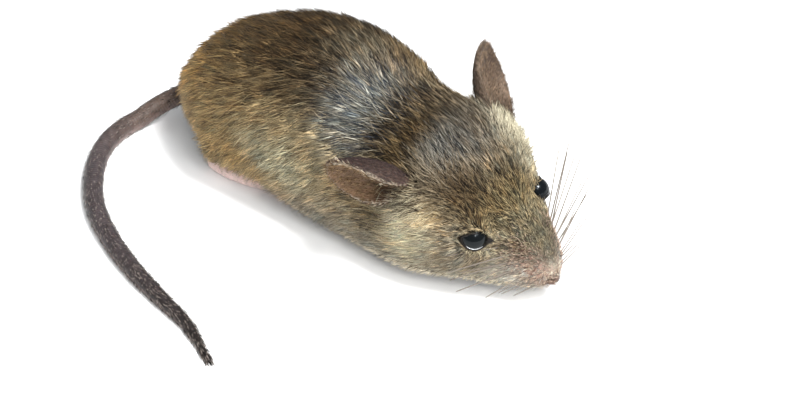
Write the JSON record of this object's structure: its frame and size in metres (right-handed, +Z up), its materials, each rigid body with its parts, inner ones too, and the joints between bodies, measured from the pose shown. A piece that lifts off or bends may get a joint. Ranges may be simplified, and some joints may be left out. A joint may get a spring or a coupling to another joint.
{
  "type": "house mouse, still life-size model",
  "caption": "Crouched grey-brown mouse at life size, with upright ears, tucked feet and a long tail laid round on the floor.",
  "frame": {"origin": "on the floor, under the middle of the belly", "axes": "+Z up, the mouse faces -Y, and its left side is towards +X"},
  "size_m": [0.0549, 0.0714, 0.027],
  "materials": {
    "coat": "short dense fur, banded grey-brown",
    "bare_skin": "thin pink skin, satin",
    "ear_skin": "thin grey-brown skin with very fine down",
    "tail_skin": "ringed scaly skin with short bristles",
    "wet_eye": "wet gloss"
  },
  "bodies": {
    "root": {"head": "coat", "neck": "coat", "trunk": "coat", "snout": "coat", "thigh_left": "coat", "thigh_right": "coat", "foreleg_left": "coat", "foreleg_right": "coat", "nose": "bare_skin", "hind_foot_left": "bare_skin", "hind_foot_right": "bare_skin", "forefoot_left": "bare_skin", "forefoot_right": "bare_skin", "ear_left": "ear_skin", "ear_right": "ear_skin", "eye_left": "wet_eye", "eye_right": "wet_eye", "tail_1": "tail_skin", "tail_2": "tail_skin", "tail_3": "tail_skin", "tail_4": "tail_skin"}
  },
  "joints": []
}
